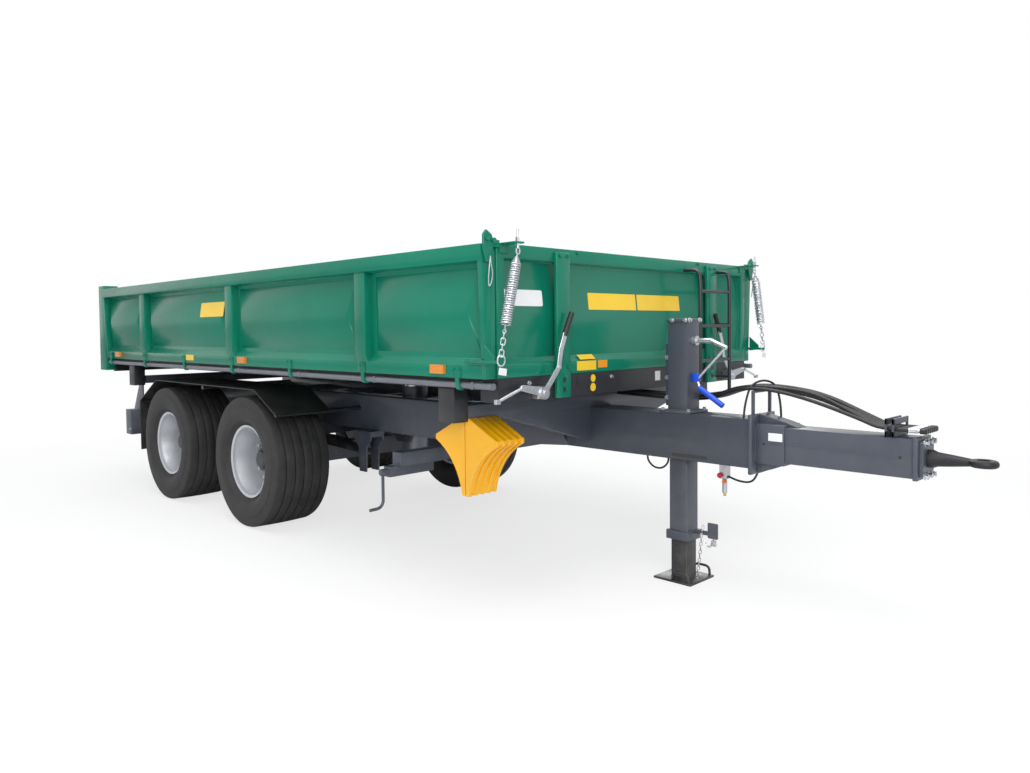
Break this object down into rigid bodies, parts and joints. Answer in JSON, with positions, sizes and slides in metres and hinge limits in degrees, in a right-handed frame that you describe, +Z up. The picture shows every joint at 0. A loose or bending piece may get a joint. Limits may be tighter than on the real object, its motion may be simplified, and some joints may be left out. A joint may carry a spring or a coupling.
{
  "type": "three-way dump trailer",
  "caption": "Tandem-axle three-way dump trailer with drop-side bed, tipping cylinder, drawbar with towing eye and a front support leg.",
  "frame": {"origin": "on the ground, midway between the rearmost point and the tip of the towing eye, on the centre plane", "axes": "+X towards the towing eye, +Y to the trailer's left, +Z up"},
  "size_m": [6.952, 2.546, 1.87],
  "materials": {
    "chassis_paint": "satin grey-blue paint",
    "bed_paint": "gloss green paint",
    "zinc": "zinc-plated steel",
    "shaft_steel": "grey painted bar",
    "ram_chrome": "hard chrome",
    "barrel_paint": "pale grey paint",
    "tyre": "tyre rubber",
    "rim_silver": "silver paint",
    "amber_lens": "amber lens",
    "red_lens": "red lens",
    "guard_black": "black guard",
    "chock_yellow": "yellow paint",
    "hose_rubber": "black hose",
    "black_paint": "black paint",
    "grip_blue": "blue grip"
  },
  "bodies": {
    "chassis": {"frame_beam_right": "chassis_paint", "frame_beam_left": "chassis_paint", "frame_crossmembers": "chassis_paint", "tipping_bearers": "chassis_paint", "drawbar_beam": "chassis_paint", "drawbar_tongue": "chassis_paint", "towing_eye": "chassis_paint", "axle_front": "chassis_paint", "axle_rear": "chassis_paint", "leaf_springs": "chassis_paint", "spring_hangers": "chassis_paint", "mudguards": "guard_black", "lamp_carrier": "chassis_paint", "rear_lamps": "red_lens", "wheel_chocks": "chock_yellow", "parking_brake": "chassis_paint", "cylinder_cradle": "chassis_paint", "leg_housing": "chassis_paint", "leg_crank": "grip_blue", "service_hoses": "hose_rubber", "hose_brackets": "chassis_paint"},
    "bed": {"bed_floor": "bed_paint", "bed_subframe": "chassis_paint", "bed_pivot_posts": "chassis_paint", "bed_front_wall": "bed_paint", "front_posts": "bed_paint", "rear_corner_posts": "bed_paint", "locking_shafts": "shaft_steel", "corner_latches": "bed_paint", "toggle_levers": "zinc", "spring_brackets": "chassis_paint", "counter_spring_right": "zinc", "counter_spring_left": "zinc", "access_ladder": "chassis_paint"},
    "side_right": {"side_wall_right": "bed_paint", "side_hooks_right": "bed_paint", "side_markers_right": "amber_lens"},
    "side_left": {"side_wall_left": "bed_paint", "side_hooks_left": "bed_paint", "side_markers_left": "amber_lens"},
    "tail": {"tailboard": "bed_paint"},
    "leg_slide_body": {"leg_sleeve": "chassis_paint"},
    "foot": {"leg_foot": "black_paint"},
    "barrel": {"cylinder_barrel": "barrel_paint"},
    "stage_1": {"cylinder_stage_1": "ram_chrome"},
    "stage_2": {"cylinder_stage_2": "ram_chrome"},
    "stage_3": {"cylinder_stage_3": "ram_chrome"},
    "stage_4": {"cylinder_stage_4": "ram_chrome"},
    "stage_5": {"cylinder_stage_5": "ram_chrome"},
    "wheel_front_right": {"rim_front_right": "rim_silver", "tyre_front_right": "tyre"},
    "wheel_front_left": {"rim_front_left": "rim_silver", "tyre_front_left": "tyre"},
    "wheel_rear_right": {"rim_rear_right": "rim_silver", "tyre_rear_right": "tyre"},
    "wheel_rear_left": {"rim_rear_left": "rim_silver", "tyre_rear_left": "tyre"}
  },
  "joints": [
    {"name": "wheel_spin_front_right", "type": "hinge", "parent": "chassis", "child": "wheel_front_right", "pos_m": [-0.8515, -0.959, 0.4655], "axis": [0, 1, 0], "continuous": true},
    {"name": "wheel_spin_front_left", "type": "hinge", "parent": "chassis", "child": "wheel_front_left", "pos_m": [-0.8515, 0.959, 0.4655], "axis": [0, 1, 0], "continuous": true},
    {"name": "wheel_spin_rear_right", "type": "hinge", "parent": "chassis", "child": "wheel_rear_right", "pos_m": [-2.2085, -0.959, 0.4655], "axis": [0, 1, 0], "continuous": true},
    {"name": "wheel_spin_rear_left", "type": "hinge", "parent": "chassis", "child": "wheel_rear_left", "pos_m": [-2.2085, 0.959, 0.4655], "axis": [0, 1, 0], "continuous": true},
    {"name": "bed_tip", "type": "hinge", "parent": "chassis", "child": "bed", "pos_m": [-2.86, 0, 0.965], "axis": [0, -1, 0], "range_deg": [0, 50]},
    {"name": "tailboard_swing", "type": "hinge", "parent": "bed", "child": "tail", "pos_m": [-3.448, 0, 1.792], "axis": [0, 1, 0], "range_deg": [0, 95]},
    {"name": "side_drop_right", "type": "hinge", "parent": "bed", "child": "side_right", "pos_m": [0, -1.225, 1.118], "axis": [1, 0, 0], "range_deg": [0, 170], "deforming": ["counter_spring_right"]},
    {"name": "side_drop_left", "type": "hinge", "parent": "bed", "child": "side_left", "pos_m": [0, 1.225, 1.118], "axis": [-1, 0, 0], "range_deg": [0, 170], "deforming": ["counter_spring_left"]},
    {"name": "leg_lift", "type": "slide", "parent": "chassis", "child": "leg_slide_body", "axis": [0, 0, 1], "range_m": [0, 0.33]},
    {"name": "foot_lift", "type": "slide", "parent": "leg_slide_body", "child": "foot", "axis": [0, 0, 1], "range_m": [0, 0.15]},
    {"name": "cylinder_lean", "type": "hinge", "parent": "chassis", "child": "barrel", "pos_m": [-0.375, 0, 0.62], "axis": [0, -1, 0], "range_deg": [0, 23]},
    {"name": "cylinder_extend_1", "type": "slide", "parent": "barrel", "child": "stage_1", "axis": [0, 0, 1], "range_m": [0, 0.415]},
    {"name": "cylinder_extend_2", "type": "slide", "parent": "stage_1", "child": "stage_2", "axis": [0, 0, 1], "range_m": [0, 0.415]},
    {"name": "cylinder_extend_3", "type": "slide", "parent": "stage_2", "child": "stage_3", "axis": [0, 0, 1], "range_m": [0, 0.415]},
    {"name": "cylinder_extend_4", "type": "slide", "parent": "stage_3", "child": "stage_4", "axis": [0, 0, 1], "range_m": [0, 0.415]},
    {"name": "cylinder_extend_5", "type": "slide", "parent": "stage_4", "child": "stage_5", "axis": [0, 0, 1], "range_m": [0, 0.415]}
  ],
  "couplings": [
    {"joint": "cylinder_lean", "follows": "bed_tip", "ratio": 0.4516},
    {"joint": "cylinder_extend_1", "follows": "bed_tip", "m_per_rad": 0.47244},
    {"joint": "cylinder_extend_2", "follows": "bed_tip", "m_per_rad": 0.47244},
    {"joint": "cylinder_extend_3", "follows": "bed_tip", "m_per_rad": 0.47244},
    {"joint": "cylinder_extend_4", "follows": "bed_tip", "m_per_rad": 0.47244},
    {"joint": "cylinder_extend_5", "follows": "bed_tip", "m_per_rad": 0.47244}
  ]
}
